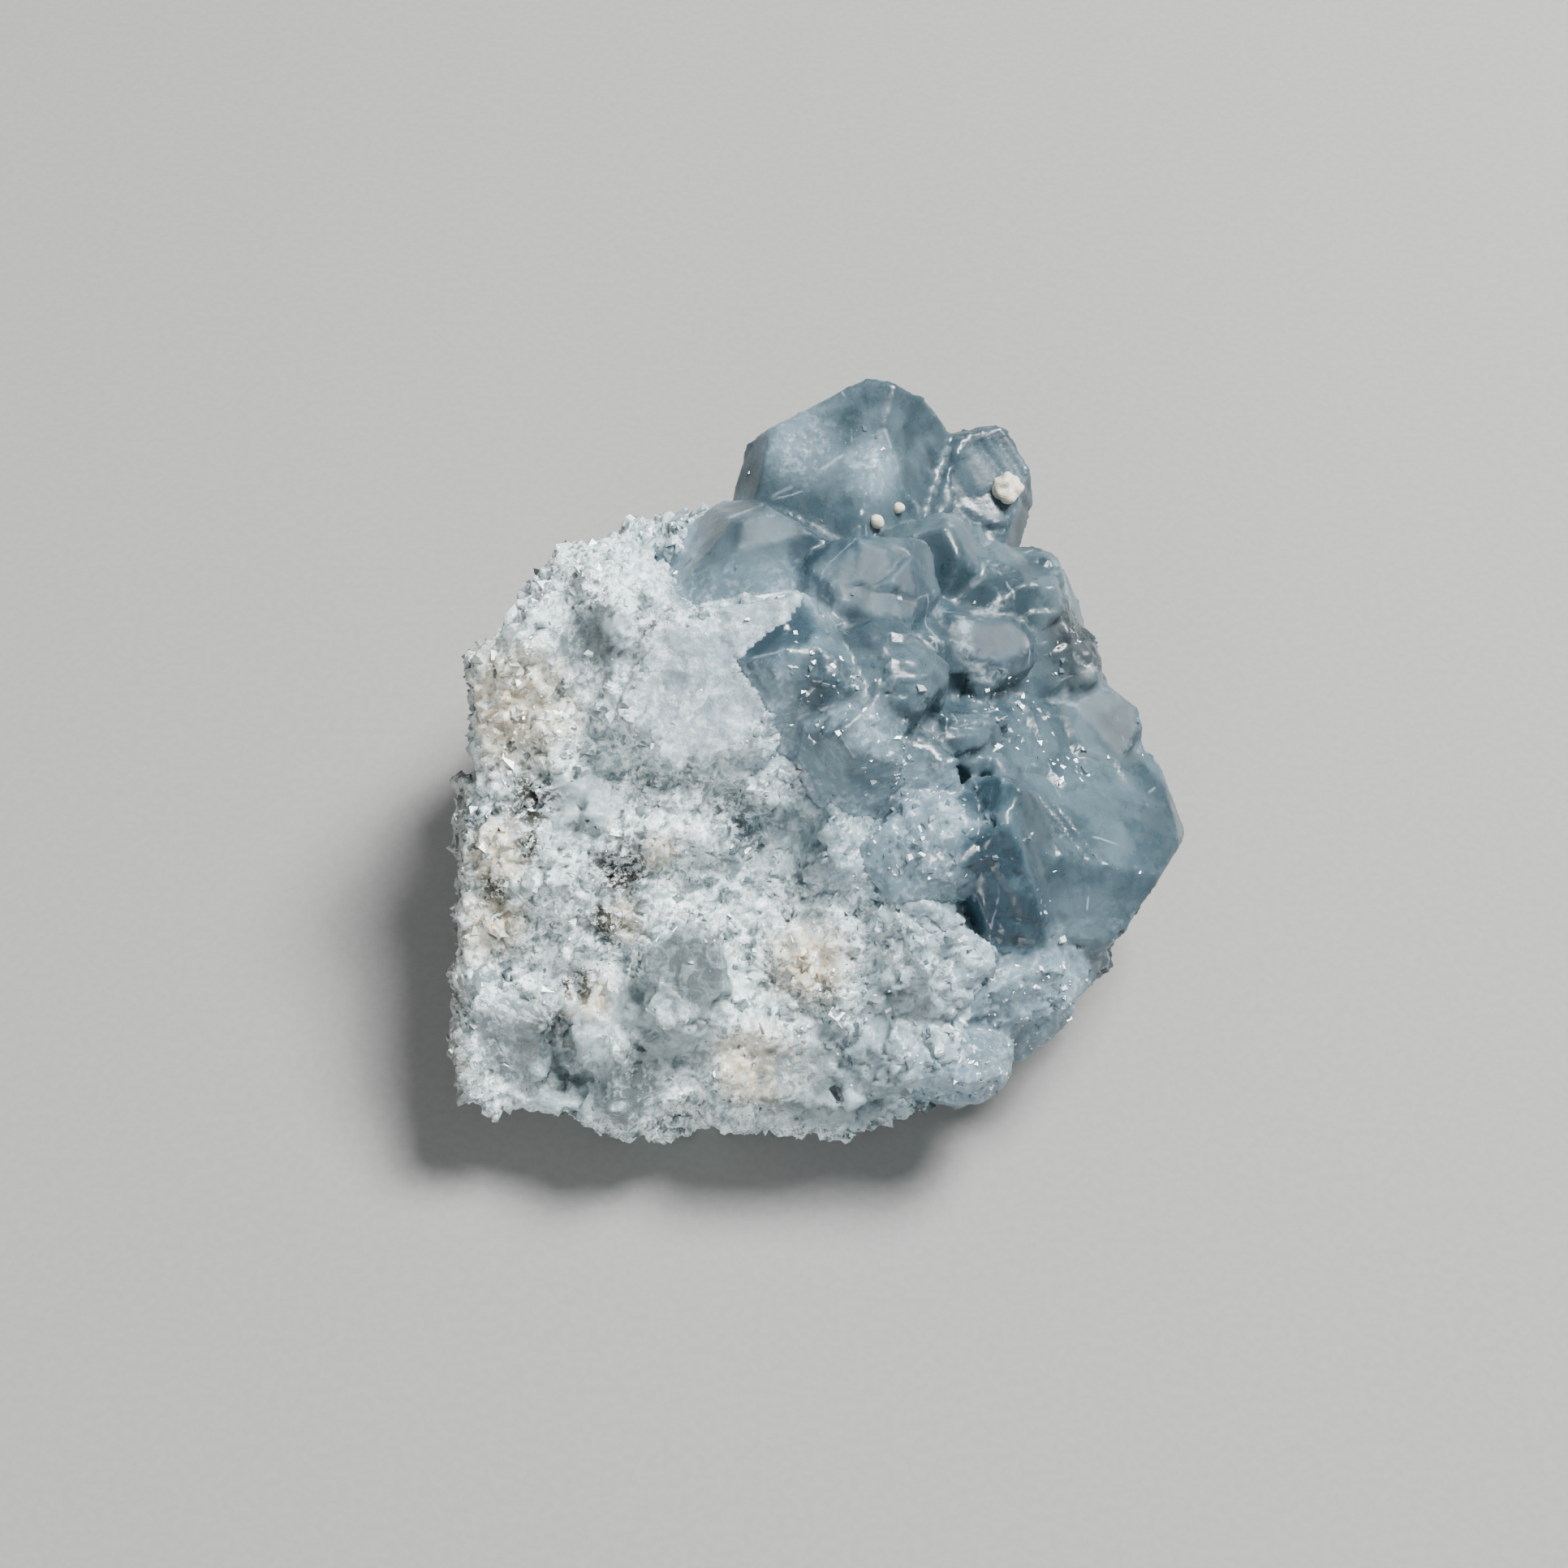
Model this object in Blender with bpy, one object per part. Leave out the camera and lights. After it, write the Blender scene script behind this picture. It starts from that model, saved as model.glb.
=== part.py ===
"""Celestite specimen: a broken piece of geode wall with pale blue crystals grown on it.

Two solids, in metres with +Z up. "matrix" is the granular wall, and "crystals" is the cluster,
whose crystals have grown together into one body. The specimen rests on the flat break under
the wall. Places are first given in millimetres from a point on the ground under the wall's
edge, and the last step moves both solids so that the origin is under the middle of their box.
"""

import math
import random
from collections import namedtuple

import bmesh
import bpy
from mathutils import Euler, Matrix, Vector, noise

MM = 0.001

# The socket that each crystal root leaves in the wall is this much larger than the root.
SOCKET_GAP = 0.3 * MM

# Celestite is orthorhombic. Its unit cell's sides, in angstroms, give the angles between faces.
CELL_A = 8.36
CELL_B = 5.35
CELL_C = 6.87

# A crystal's prism faces and side faces stand this far from its axis, as shares of half its width.
PRISM_REACH = 0.92
SIDE_REACH = 1.08

# The ridge at a crystal's tip is this share of its thickness long.
RIDGE_LENGTH = 0.55

# No crystal is quite regular: each face is shifted and leans at random. Shifts are shares of half
# the width, which counts as no more than the limit.
FACE_SINK = 0.14
FACE_RISE = 0.10
FACE_SHIFT_LIMIT = 4 * MM
FACE_LEAN = 0.03

# A grain's cleavage faces stand this far from its centre, as shares of half its size.
GRAIN_SIDE_REACH = 0.8
GRAIN_END_REACH = 0.7

# The wall's surface is broken into lumps of these sizes, each raised or sunk by up to its relief.
# It is shaped on an even mesh, of which it then keeps only a share of the faces.
WALL_MESH_STEP = 0.8 * MM
WALL_FACE_SHARE = 0.18
LUMP_SHUFFLE = 7.3
COARSE_LUMP = 5.2 * MM
COARSE_RELIEF = 0.55 * MM
FINE_LUMP = 2.3 * MM
FINE_RELIEF = 0.42 * MM

# The break that the piece rests on is cut at this height.
REST_HEIGHT = 1.2 * MM

# Corners of a crystal that are closer than this are made one.
SHORTEST_EDGE = 0.12 * MM

# Half the side of the cube that the wall's pieces are cut from.
ROCK_REACH = 60 * MM

# The exact solver fails on the rough wall, so its joins and cuts use this one.
ROUGH_SOLVER = "MANIFOLD"

Plane = namedtuple("Plane", "name normal distance")

# The wall's breaks and skins, as planes: outward normal, and distance in millimetres.
WALL_PLANES = (
    Plane("rest", (0, 0, -1), 0),
    Plane("broken face", (-0.10, -0.57, 0.81), 20.6),
    Plane("back slope", (-0.20, 0.55, 0.81), 26.2),
    Plane("left skin", (-0.99, -0.05, 0.05), 20.2),
    Plane("left front corner", (-0.80, -0.58, -0.15), 24.6),
    Plane("front overhang", (0.00, -0.85, -0.53), 14.2),
    Plane("right front overhang", (0.45, -0.75, -0.48), 15.0),
    Plane("right front", (0.85, -0.50, 0.10), 20.0),
    Plane("left overhang", (-0.85, 0.00, -0.53), 12.5),
    Plane("back left skin", (-0.69, 0.62, 0.37), 23.2),
    Plane("back left overhang", (-0.60, 0.60, -0.53), 13.0),
    Plane("back", (0.15, 0.93, 0.33), 22.0),
    Plane("back overhang", (0.10, 0.80, -0.60), 11.5),
    Plane("druse", (0.75, 0.45, 0.48), 10.4),
)

# The foot of the wall runs on under the crystals.
FOOT_PLANES = (
    Plane("rest", (0, 0, -1), 0),
    Plane("druse", (0.42, 0.16, 0.89), 9.0),
    Plane("front overhang", (0.00, -0.85, -0.53), 13.4),
    Plane("right front", (0.66, -0.72, -0.20), 13.0),
    Plane("right overhang", (0.86, 0.00, -0.51), 7.5),
    Plane("back right", (0.70, 0.68, -0.20), 11.8),
    Plane("back overhang", (0.10, 0.80, -0.60), 11.0),
    Plane("left", (-1, 0, 0), 8.0),
    Plane("front", (0.10, -0.98, 0.15), 20.5),
)

# A smooth block of massive celestite stands out of the broken face below the crystals.
BLOCK_CENTRE = (-4.2, -1.0, 21.4)
BLOCK_PLANES = (
    Plane("face", (-0.12, -0.46, 0.88), 3.3),
    Plane("left", (-0.93, 0.18, 0.32), 4.9),
    Plane("right", (0.92, -0.30, 0.24), 4.6),
    Plane("lower ledge", (0.05, -0.99, 0.05), 4.6),
    Plane("lower left edge", (-0.62, -0.78, 0.10), 4.9),
    Plane("upper edge", (-0.15, 0.80, 0.58), 5.4),
    Plane("back", (0, 0, -1), 7.0),
)

Grain = namedtuple("Grain", "name centre size turn")

# Large single grains with cleavage faces, half sunk in the wall: size in millimetres, turn in degrees.
GRAINS = (
    Grain("grey window", (-11.2, 1.4, 21.8), 5.0, (25, -10, 20)),
    Grain("grey grain", (-5.4, -14.2, 13.8), 5.6, (38, 8, -25)),
    Grain("left front grain", (-15.8, -15.8, 9.2), 5.2, (50, -30, 10)),
    Grain("front grain", (-9.0, -18.6, 8.6), 5.0, (62, 5, 35)),
    Grain("low front grain", (0.5, -17.8, 8.4), 5.6, (58, 12, -15)),
    Grain("grain by the blue face", (3.2, -8.4, 17.4), 4.6, (30, 15, 40)),
    Grain("right front grain", (8.0, -14.5, 10.8), 6.0, (45, 25, 5)),
    Grain("left skin grain", (-17.0, -4.0, 14.0), 5.5, (10, -60, 15)),
    Grain("back grain", (-10.0, 10.4, 14.6), 7.0, (-30, -20, 30)),
    Grain("rim grain", (-6.4, 12.6, 18.2), 6.0, (-38, -12, 20)),
)

Pit = namedtuple("Pit", "name centre width depth")

# Places where softer grains have dropped out of the broken face.
PITS = (
    Pit("upper pit", (-9.5, -10.5, 17.5), 3.4, 1.3),
    Pit("middle pit", (-11.0, -14.0, 14.0), 2.8, 1.4),
    Pit("lower slot", (-14.0, -18.0, 11.0), 3.6, 1.5),
    Pit("brown pit", (-8.5, -20.5, 9.5), 2.8, 1.6),
    Pit("slot below the block", (-1.8, -9.5, 19.0), 3.8, 1.7),
    Pit("bay beside the foot", (6.5, -18.5, 8.5), 6.0, 2.6),
)

Crystal = namedtuple("Crystal", "name root tip width slab roll ridge wear", defaults=(0.0, 0.12))

# Each crystal runs from its root to its tip, in millimetres. Width is across its prism faces, slab is
# its thickness between the two basal faces as a share of that, and roll turns it about its length.
# Ridge is how far the ridge at its tip stands off the middle, and wear how far it is worn back, both
# as shares of half the width.
CRYSTALS = (
    Crystal("top", (-0.5, 5.0, 12), (5.0, 24.3, 22.8), 11.4, 0.75, 0, -0.5, 0.26),
    Crystal("top neighbour", (5.5, 4.0, 10), (13.4, 23.4, 18.8), 9.5, 0.85, 25, 0.0),
    Crystal("right upper", (4.0, 0.0, 12), (18.0, 12.5, 17.0), 11.5, 0.85, -12),
    Crystal("ridge left", (0.0, 0.0, 9), (-3.5, 12.5, 24.5), 14.0, 0.7, 5, -0.1),
    Crystal("ridge right", (1.5, 0.0, 9), (6.0, 8.5, 25.5), 10.0, 0.8, -38),
    Crystal("centre", (0.5, -4.0, 11), (1.5, 1.5, 27.0), 10.0, 0.85, 15),
    Crystal("centre right", (3.0, -3.0, 11), (6.5, 1.0, 26.0), 7.5, 0.9, 40),
    Crystal("centre low", (2.5, -5.0, 10), (4.5, -3.5, 25.5), 7.0, 0.9, 15),
    Crystal("window", (9.0, 6.0, 10), (12.6, 4.0, 22.0), 6.5, 1.0, 30),
    Crystal("smoky", (11.0, 3.0, 9), (19.0, 7.5, 17.5), 6.0, 1.0, 40),
    Crystal("wedge", (15.6, -13.4, 9.5), (11.2, -5.4, 21.4), 7.0, 0.7, 35),
    Crystal("frosted block", (7.0, -4.5, 11), (9.6, -10.8, 21.0), 7.5, 0.85, -20),
    Crystal("great", (10.5, -4.0, 15.0), (24.4, -2.6, 8.4), 16.0, 0.6, -3),
    Crystal("great shoulder", (7.0, 1.0, 12), (22.6, 3.6, 12.0), 9.0, 0.9, 15),
    Crystal("great back", (6.0, 2.0, 9), (20.5, 8.5, 11.5), 8.0, 0.9, 30),
    Crystal("low clear", (7.0, -6.0, 9), (19.5, -11.0, 9.5), 8.0, 0.85, 20),
    Crystal("front block", (5.0, -8.0, 8), (16.5, -15.4, 11.6), 9.5, 0.85, 0),
    Crystal("front foot", (6.0, -10.0, 9), (11.5, -20.5, 9.5), 6.5, 0.9, 20),
    Crystal("back low", (2.0, 6.0, 8), (7.5, 20.0, 9.0), 11.0, 0.85, 10),
    Crystal("back right low", (5.0, 4.0, 8), (16.0, 15.0, 9.5), 10.5, 0.85, 30),
    Crystal("right low", (6.0, 0.0, 8), (19.0, 5.0, 8.0), 9.0, 0.9, 10),
    Crystal("right front low", (6.0, -5.0, 8), (17.5, -7.0, 7.0), 8.5, 0.9, 40),
    Crystal("pale face", (5.0, 3.0, 9), (10.5, 13.5, 21.5), 9.0, 0.85, -5),
    Crystal("inner right", (4.0, 1.0, 9), (9.6, 5.0, 22.6), 7.5, 0.9, 35),
    Crystal("inner low", (4.0, -3.0, 9), (7.8, -4.4, 22.2), 6.0, 0.9, 10),
    Crystal("inner great", (6.0, -0.5, 9), (11.4, -1.6, 21.0), 6.5, 0.9, 30),
)


def form_normals(h, k, l):
    """The outward normals of a crystal form's faces at the growing end, from its Miller indices."""
    found = set()
    for k_sign in (1, -1):
        for l_sign in (1, -1):
            normal = Vector((h / CELL_A, k_sign * k / CELL_B, l_sign * l / CELL_C)).normalized()
            found.add(tuple(round(part, 6) for part in normal))
    return [Vector(normal) for normal in sorted(found)]


def convex_solid(planes, reach):
    """A convex mesh inside all the planes, each an outward unit normal and a distance from zero."""
    mesh = bmesh.new()
    bmesh.ops.create_cube(mesh, size=2 * reach)
    for normal, distance in planes:
        geometry = mesh.verts[:] + mesh.edges[:] + mesh.faces[:]
        bmesh.ops.bisect_plane(
            mesh, geom=geometry, dist=1e-7, plane_co=normal * distance, plane_no=normal, clear_outer=True
        )
        rim = [edge for edge in mesh.edges if edge.is_boundary]
        bmesh.ops.holes_fill(mesh, edges=rim, sides=0)
    bmesh.ops.remove_doubles(mesh, verts=mesh.verts, dist=SHORTEST_EDGE)
    bmesh.ops.dissolve_degenerate(mesh, edges=mesh.edges, dist=SHORTEST_EDGE / 4)
    bmesh.ops.recalc_face_normals(mesh, faces=mesh.faces)
    return mesh


def object_from(mesh, name):
    """Puts a bmesh in the scene as an object, and frees it."""
    data = bpy.data.meshes.new(name)
    mesh.to_mesh(data)
    mesh.free()
    placed = bpy.data.objects.new(name, data)
    bpy.context.scene.collection.objects.link(placed)
    return placed


def bake_modifiers(target):
    """Replaces an object's mesh with the one that its modifiers make."""
    graph = bpy.context.evaluated_depsgraph_get()
    made = bpy.data.meshes.new_from_object(target.evaluated_get(graph))
    target.modifiers.clear()
    target.data = made


def combine(target, tool, operation, solver="EXACT"):
    """Joins the tool to the target, or cuts it away, and removes the tool."""
    modifier = target.modifiers.new(operation.lower(), "BOOLEAN")
    modifier.operation = operation
    modifier.solver = solver
    modifier.object = tool
    bake_modifiers(target)
    bpy.data.objects.remove(tool)


def edit(target, change):
    """Changes an object's mesh by a function of its bmesh."""
    mesh = bmesh.new()
    mesh.from_mesh(target.data)
    change(mesh)
    mesh.to_mesh(target.data)
    mesh.free()


def drop_crumbs(mesh):
    """Keeps the largest piece of a mesh, and removes loose crumbs and the walls of sealed hollows."""
    unseen = set(mesh.verts)
    pieces = []
    while unseen:
        piece = {unseen.pop()}
        edge_of_piece = list(piece)
        while edge_of_piece:
            vert = edge_of_piece.pop()
            for edge in vert.link_edges:
                other = edge.other_vert(vert)
                if other in unseen:
                    unseen.remove(other)
                    piece.add(other)
                    edge_of_piece.append(other)
        pieces.append(piece)
    pieces.sort(key=len)
    for crumb in pieces[:-1]:
        bmesh.ops.delete(mesh, geom=list(crumb), context="VERTS")


def crystal_planes(crystal, rng, grow):
    """The faces of one crystal, lengthways along X from zero, all moved outward by grow."""
    length = (Vector(crystal.tip) - Vector(crystal.root)).length * MM
    half_width = crystal.width * MM / 2
    prism = [(normal, half_width * PRISM_REACH) for normal in form_normals(0, 1, 1)]
    basal = [(Vector((0, 0, side)), half_width * crystal.slab) for side in (1, -1)]
    sides = [(Vector((0, side, 0)), half_width * SIDE_REACH) for side in (1, -1)]
    ridge = Vector((length, crystal.ridge * half_width, 0))
    half_ridge = half_width * crystal.slab * RIDGE_LENGTH
    chisel = [(normal, normal.dot(ridge)) for normal in form_normals(2, 1, 0)]
    dome = [(normal, normal.x * length + abs(normal.z) * half_ridge) for normal in form_normals(1, 0, 1)]
    bevel = [(normal, normal.dot(ridge) + abs(normal.z) * half_ridge) for normal in form_normals(2, 1, 1)]
    blunt = [(Vector((1, 0, 0)), length - half_width * crystal.wear)]
    faces = []
    for normal, distance in prism + basal + sides + chisel + dome + bevel + blunt:
        shift = min(half_width, FACE_SHIFT_LIMIT) * rng.uniform(-FACE_SINK, FACE_RISE)
        lean = Vector([rng.gauss(0, FACE_LEAN) for _ in range(3)])
        faces.append(((normal + lean).normalized(), distance + shift + grow))
    root = (Vector((-1, 0, 0)), grow)
    return faces + [root]


def crystal_pose(crystal):
    """The matrix that takes X to a crystal's length and zero to its root."""
    root = Vector(crystal.root) * MM
    along = (Vector(crystal.tip) - Vector(crystal.root)).normalized()
    turn = along.to_track_quat("X", "Z").to_matrix().to_4x4()
    roll = Matrix.Rotation(math.radians(crystal.roll), 4, "X")
    return Matrix.Translation(root) @ turn @ roll


def crystal_body(crystal, order, grow=0.0):
    """One crystal as an object. The same order gives the same uneven faces, whatever it grows by."""
    rng = random.Random(order)
    planes = crystal_planes(crystal, rng, grow)
    reach = 2 * (Vector(crystal.tip) - Vector(crystal.root)).length * MM
    mesh = convex_solid(planes, reach)
    mesh.transform(crystal_pose(crystal))
    return object_from(mesh, crystal.name)


def crystal_cluster(grow=0.0):
    """All the crystals, grown together into one body."""
    cluster = None
    for order, crystal in enumerate(CRYSTALS):
        body = crystal_body(crystal, order, grow)
        if cluster is None:
            cluster = body
        else:
            combine(cluster, body, "UNION")
    edit(cluster, drop_crumbs)
    return cluster


def slab_of_rock(planes, name, centre=(0, 0, 0)):
    """A convex piece of wall from a list of planes round its centre."""
    faces = [(Vector(plane.normal).normalized(), plane.distance * MM) for plane in planes]
    mesh = convex_solid(faces, ROCK_REACH)
    mesh.transform(Matrix.Translation(Vector(centre) * MM))
    return object_from(mesh, name)


def grain_body(grain):
    """A cleavage rhomb of the wall's own mineral."""
    half = grain.size / 2 * MM
    planes = []
    for side in (1, -1):
        planes += [(normal * side, half * GRAIN_SIDE_REACH) for normal in form_normals(2, 1, 0)]
        planes.append((Vector((0, 0, side)), half * GRAIN_END_REACH))
    mesh = convex_solid(planes, grain.size * MM)
    mesh.transform(Euler([math.radians(angle) for angle in grain.turn]).to_matrix().to_4x4())
    mesh.transform(Matrix.Translation(Vector(grain.centre) * MM))
    return object_from(mesh, grain.name)


def lump_relief(point, size, relief):
    """How far the lump that holds this point stands out, for lumps of this size."""
    _, centres = noise.voronoi(point / size)
    return relief * (2 * noise.cell(centres[0] * LUMP_SHUFFLE) - 1)


def pit_depth(point):
    """How far the pits sink the surface at this point."""
    depth = 0.0
    for pit in PITS:
        away = (point - Vector(pit.centre) * MM).length / (pit.width / 2 * MM)
        depth += pit.depth * MM * math.exp(-away * away)
    return depth


def roughen(mesh):
    """Breaks a smooth surface into lumps and pits."""
    moves = []
    for vert in mesh.verts:
        rise = lump_relief(vert.co, COARSE_LUMP, COARSE_RELIEF) + lump_relief(vert.co, FINE_LUMP, FINE_RELIEF)
        moves.append(vert.normal * (rise - pit_depth(vert.co)))
    for vert, move in zip(mesh.verts, moves):
        vert.co += move


def cut_rest_face(mesh):
    """Cuts the wall off flat where it rests."""
    geometry = mesh.verts[:] + mesh.edges[:] + mesh.faces[:]
    bmesh.ops.bisect_plane(
        mesh, geom=geometry, dist=1e-7, plane_co=(0, 0, REST_HEIGHT), plane_no=(0, 0, -1), clear_outer=True
    )
    rim = [edge for edge in mesh.edges if edge.is_boundary]
    bmesh.ops.holes_fill(mesh, edges=rim, sides=0)


def remesh_evenly(target, step):
    """Gives an object a closed mesh of faces of one size."""
    remesh = target.modifiers.new("even mesh", "REMESH")
    remesh.mode = "VOXEL"
    remesh.voxel_size = step
    bake_modifiers(target)


def thin_out(target, share):
    """Keeps this share of an object's faces, the ones that its shape needs most."""
    decimate = target.modifiers.new("fewer faces", "DECIMATE")
    decimate.ratio = share
    bake_modifiers(target)


def wall_body():
    """The geode wall before the crystals' roots are cut out of it."""
    wall = slab_of_rock(WALL_PLANES, "matrix")
    combine(wall, slab_of_rock(FOOT_PLANES, "foot"), "UNION")
    remesh_evenly(wall, WALL_MESH_STEP)
    edit(wall, roughen)
    remesh_evenly(wall, WALL_MESH_STEP)
    thin_out(wall, WALL_FACE_SHARE)
    combine(wall, slab_of_rock(BLOCK_PLANES, "block", BLOCK_CENTRE), "UNION", ROUGH_SOLVER)
    for grain in GRAINS:
        combine(wall, grain_body(grain), "UNION", ROUGH_SOLVER)
    edit(wall, cut_rest_face)
    return wall


def paint(target, name, colour, roughness, transmission):
    """Gives an object its material."""
    material = bpy.data.materials.new(name)
    material.use_nodes = True
    shader = material.node_tree.nodes["Principled BSDF"]
    shader.inputs["Base Color"].default_value = (*colour, 1)
    shader.inputs["Roughness"].default_value = roughness
    shader.inputs["Transmission Weight"].default_value = transmission
    shader.inputs["Metallic"].default_value = 0
    target.data.materials.clear()
    target.data.materials.append(material)


def centre_over_origin(solids):
    """Moves the solids so that the origin is under the middle of their box."""
    corners = [vert.co for solid in solids for vert in solid.data.vertices]
    low = Vector([min(corner[axis] for corner in corners) for axis in range(3)])
    high = Vector([max(corner[axis] for corner in corners) for axis in range(3)])
    shift = Vector((-(low.x + high.x) / 2, -(low.y + high.y) / 2, -low.z))
    for solid in solids:
        solid.data.transform(Matrix.Translation(shift))
    return shift


def main():
    for old in list(bpy.data.objects):
        bpy.data.objects.remove(old)
    crystals = crystal_cluster()
    crystals.name = "crystals"
    matrix = wall_body()
    combine(matrix, crystal_cluster(SOCKET_GAP), "DIFFERENCE", ROUGH_SOLVER)
    edit(matrix, drop_crumbs)
    paint(matrix, "massive celestite", (0.66, 0.68, 0.66), 0.6, 0.0)
    paint(crystals, "blue celestite", (0.42, 0.53, 0.60), 0.15, 0.6)
    return centre_over_origin((matrix, crystals))


main()
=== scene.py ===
"""The look of the celestite specimen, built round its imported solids.

The wall and the crystals are copied, given an even fine mesh and shaped further: grains, growth
lines, breaks and worn edges. Joined meshes add the wall's sugar grains, the cleavage flakes that
sparkle on the crystals, and a few nodules of cream clay.
"""

import math
import random
from collections import namedtuple

import bmesh
import bpy
import numpy as np
from mathutils import Euler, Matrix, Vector, noise
from mathutils.bvhtree import BVHTree


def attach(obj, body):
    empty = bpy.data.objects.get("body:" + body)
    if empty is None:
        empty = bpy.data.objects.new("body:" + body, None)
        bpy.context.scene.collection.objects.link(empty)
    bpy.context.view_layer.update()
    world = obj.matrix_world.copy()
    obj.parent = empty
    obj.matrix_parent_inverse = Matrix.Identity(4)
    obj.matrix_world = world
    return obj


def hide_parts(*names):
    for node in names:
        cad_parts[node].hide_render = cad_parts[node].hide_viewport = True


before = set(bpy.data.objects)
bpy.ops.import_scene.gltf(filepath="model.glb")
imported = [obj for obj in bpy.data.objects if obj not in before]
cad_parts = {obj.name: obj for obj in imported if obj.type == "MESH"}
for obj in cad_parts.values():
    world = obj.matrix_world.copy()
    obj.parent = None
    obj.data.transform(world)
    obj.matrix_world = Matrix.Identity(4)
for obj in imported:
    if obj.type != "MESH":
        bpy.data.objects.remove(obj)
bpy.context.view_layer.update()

MM = 0.001

# Places below are in millimetres from the point on the ground that the part's source starts from.
# It lies here in the frame.
START = Vector((-2.18, -1.59, -1.20)) * MM

# Corners closer than this are one corner.
WELD = 0.002 * MM

# The fine meshes' steps, and how many times each one's corners are rounded.
WALL_MESH_STEP = 0.26 * MM
CRYSTAL_MESH_STEP = 0.24 * MM
WALL_ROUNDING = 1
CRYSTAL_ROUNDING = 1

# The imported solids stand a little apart. Here both grow over the gap: fully where they are closer
# than the first distance, and not at all beyond the second.
CONTACT_FULL = 0.39 * MM
CONTACT_REACH = 0.65 * MM
WALL_GROWTH = 0.40 * MM
CRYSTAL_GROWTH = 0.30 * MM

# How far the look of each material runs over into the other's.
BLEND_REACH = 5.5 * MM

# The wall's grains, from lumps to sugar: size across, lean of each one's face, and how far it stands out.
Lump = namedtuple("Lump", "size lean rise shuffle")
WALL_LUMPS = (
    Lump(2.3 * MM, 0.22, 0.08 * MM, 3.1),
    Lump(1.2 * MM, 0.42, 0.08 * MM, 5.7),
    Lump(0.7 * MM, 0.42, 0.03 * MM, 8.3),
)

# The break that the piece rests on stays flat: shaping fades in between these heights.
FLAT_BELOW = 0.15 * MM
SHAPED_ABOVE = 0.9 * MM

# How much of the grains' relief is missing at the contact and on smooth faces.
CONTACT_CALM = 0.6
SMOOTH_CALM = 0.8

Spot = namedtuple("Spot", "name centre radius")

# Smooth cleavage faces in the wall, which carry no sugar grains: blue ones and grey ones.
BLUE_SPOTS = (
    Spot("block", (-4.8, -1.8, 24.2), 3.8),
    Spot("beside the centre face", (-1.4, 2.4, 26.8), 2.4),
    Spot("foot of the ridge", (-5.2, 4.4, 26.0), 1.6),
)
GREY_SPOTS = (
    Spot("grey window", (-11.2, 1.4, 23.5), 2.2),
    Spot("grey grain", (-5.4, -15.2, 15.2), 2.6),
    Spot("left front grain", (-15.8, -16.6, 10.4), 2.2),
    Spot("front grain", (-9.0, -20.0, 9.4), 2.2),
    Spot("low front grain", (0.5, -19.0, 9.6), 2.4),
    Spot("right front grain", (8.0, -15.5, 12.0), 2.4),
)
SMOOTH_SPOTS = BLUE_SPOTS + GREY_SPOTS

CREAM_SPOTS = (
    Spot("upper left band", (-15.8, -1.0, 21.0), 3.4),
    Spot("left band", (-16.8, -8.6, 17.4), 2.0),
    Spot("lower left band", (-16.9, -12.0, 15.0), 2.0),
    Spot("left of the middle pit", (-9.3, -11.5, 14.4), 1.1),
    Spot("above the middle", (-7.2, -8.8, 17.6), 1.2),
    Spot("below the pits", (-11.3, -14.9, 11.4), 1.4),
    Spot("middle patch", (1.4, -14.3, 14.8), 2.2),
    Spot("low patch", (-1.5, -19.2, 11.0), 2.2),
    Spot("back patch", (-14.0, 9.0, 12.0), 4.5),
)

DARK_SPOTS = (
    Spot("upper pit", (-9.3, -9.2, 16.6), 1.7),
    Spot("upper left speck", (-14.7, -8.5, 18.3), 0.9),
    Spot("middle pit", (-10.5, -11.4, 14.2), 1.3),
    Spot("lower slot", (-13.6, -16.6, 11.0), 1.7),
    Spot("low left pit", (-12.3, -13.9, 11.3), 1.1),
    Spot("brown pit", (-8.4, -19.5, 10.3), 1.2),
    Spot("slot below the block", (-2.2, -7.1, 18.5), 1.9),
    Spot("left speckles", (-14.6, -5.9, 18.8), 1.8),
    Spot("left edge", (-16.8, -10.4, 16.2), 1.2),
)

# Where the wall's grains are clear and grey, with little sugar between them.
CLEAR_SPOTS = (
    Spot("grey grain", (-5.4, -15.6, 15.0), 2.8),
    Spot("below it", (-6.3, -18.4, 12.1), 2.4),
    Spot("low left", (-12.6, -18.0, 9.7), 3.4),
    Spot("left of the grey grain", (-8.6, -16.2, 12.9), 1.8),
    Spot("below the upper left", (-11.8, -6.4, 18.9), 2.2),
    Spot("grey window", (-10.5, 1.3, 25.2), 1.7),
    Spot("below the block", (1.0, -9.0, 19.0), 2.6),
    Spot("right front", (6.5, -15.5, 12.0), 2.6),
    Spot("low lip", (4.0, -19.5, 9.0), 4.0),
)


def place(point):
    """A point given in millimetres, in the frame."""
    return START + Vector(point) * MM


def object_from(mesh, name):
    """Puts a bmesh in the scene as an object, and frees it."""
    data = bpy.data.meshes.new(name)
    mesh.to_mesh(data)
    mesh.free()
    made = bpy.data.objects.new(name, data)
    bpy.context.scene.collection.objects.link(made)
    return made


def bake_modifiers(target):
    """Replaces an object's mesh with the one that its modifiers make."""
    graph = bpy.context.evaluated_depsgraph_get()
    made = bpy.data.meshes.new_from_object(target.evaluated_get(graph))
    target.modifiers.clear()
    target.data = made


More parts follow.
